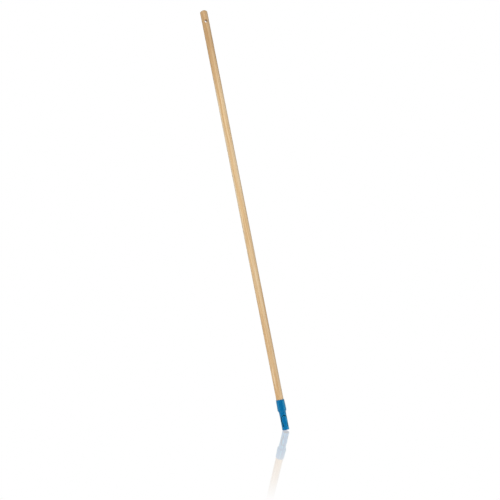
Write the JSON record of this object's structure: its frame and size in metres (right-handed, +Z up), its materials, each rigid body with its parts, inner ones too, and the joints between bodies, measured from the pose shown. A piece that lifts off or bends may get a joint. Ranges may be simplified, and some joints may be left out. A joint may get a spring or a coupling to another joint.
{
  "type": "mop handle",
  "caption": "Long round wooden mop handle with a domed, cross-drilled top and a moulded snap coupling with a sprung release tongue at its lower end.",
  "frame": {"origin": "centre of the coupling plug's lower end face, on the handle's axis", "axes": "+Z up the handle from the coupling to the domed end, -Y towards the release tongue, hanging hole along Y"},
  "size_m": [0.0294, 0.0294, 1.4],
  "materials": {
    "wood": "smooth sanded, unvarnished softwood",
    "blue_plastic": "satin moulded plastic",
    "screw_steel": "zinc plated"
  },
  "bodies": {
    "handle": {"wooden_handle": "wood", "coupling_body": "blue_plastic", "fixing_screw": "screw_steel"},
    "tongue": {"release_tongue": "blue_plastic"}
  },
  "joints": [
    {"name": "tongue_press", "type": "hinge", "parent": "handle", "child": "tongue", "pos_m": [0, -0.00698, 0.0115], "axis": [-1, 0, 0], "range_deg": [0, 8.49], "stiffness_Nm_per_rad": 1.5}
  ]
}
